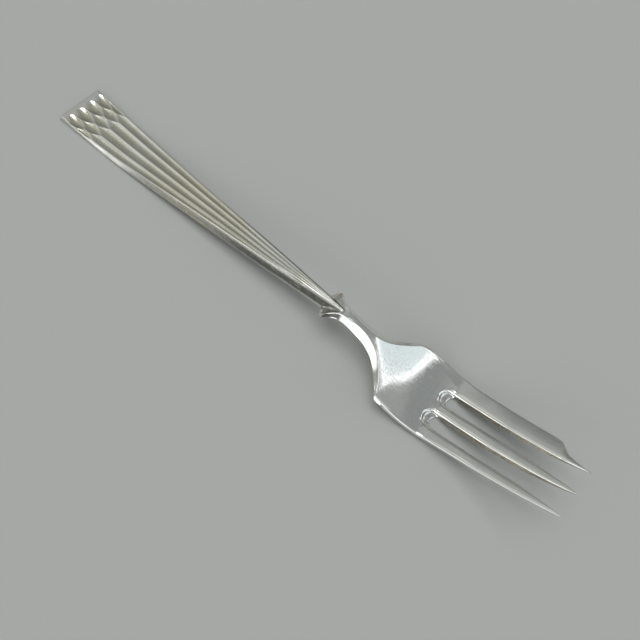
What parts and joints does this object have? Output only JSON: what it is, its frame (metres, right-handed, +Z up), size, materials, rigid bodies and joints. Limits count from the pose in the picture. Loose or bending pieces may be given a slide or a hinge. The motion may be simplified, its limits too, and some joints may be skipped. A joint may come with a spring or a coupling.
{
  "type": "pastry fork",
  "caption": "Polished metal pastry fork with a fluted fan-shaped stem, a lattice end, a spurred neck, slim tines and a wide notched cutting tine.",
  "frame": {"origin": "middle of the fork's box, on the table it lies on", "axes": "+X along the fork from the square end to the tine tips, +Y towards the cutting tine, +Z up out of the hollow side"},
  "size_m": [0.15, 0.0186, 0.0146],
  "materials": {
    "stem_silver": "polished silver plate, slightly warm in the flutes",
    "head_silver": "polished silver plate with fine wear scratches",
    "solder": "dull silver solder"
  },
  "bodies": {
    "root": {"handle": "stem_silver", "fork_head": "head_silver", "solder_joint": "solder"}
  },
  "joints": []
}
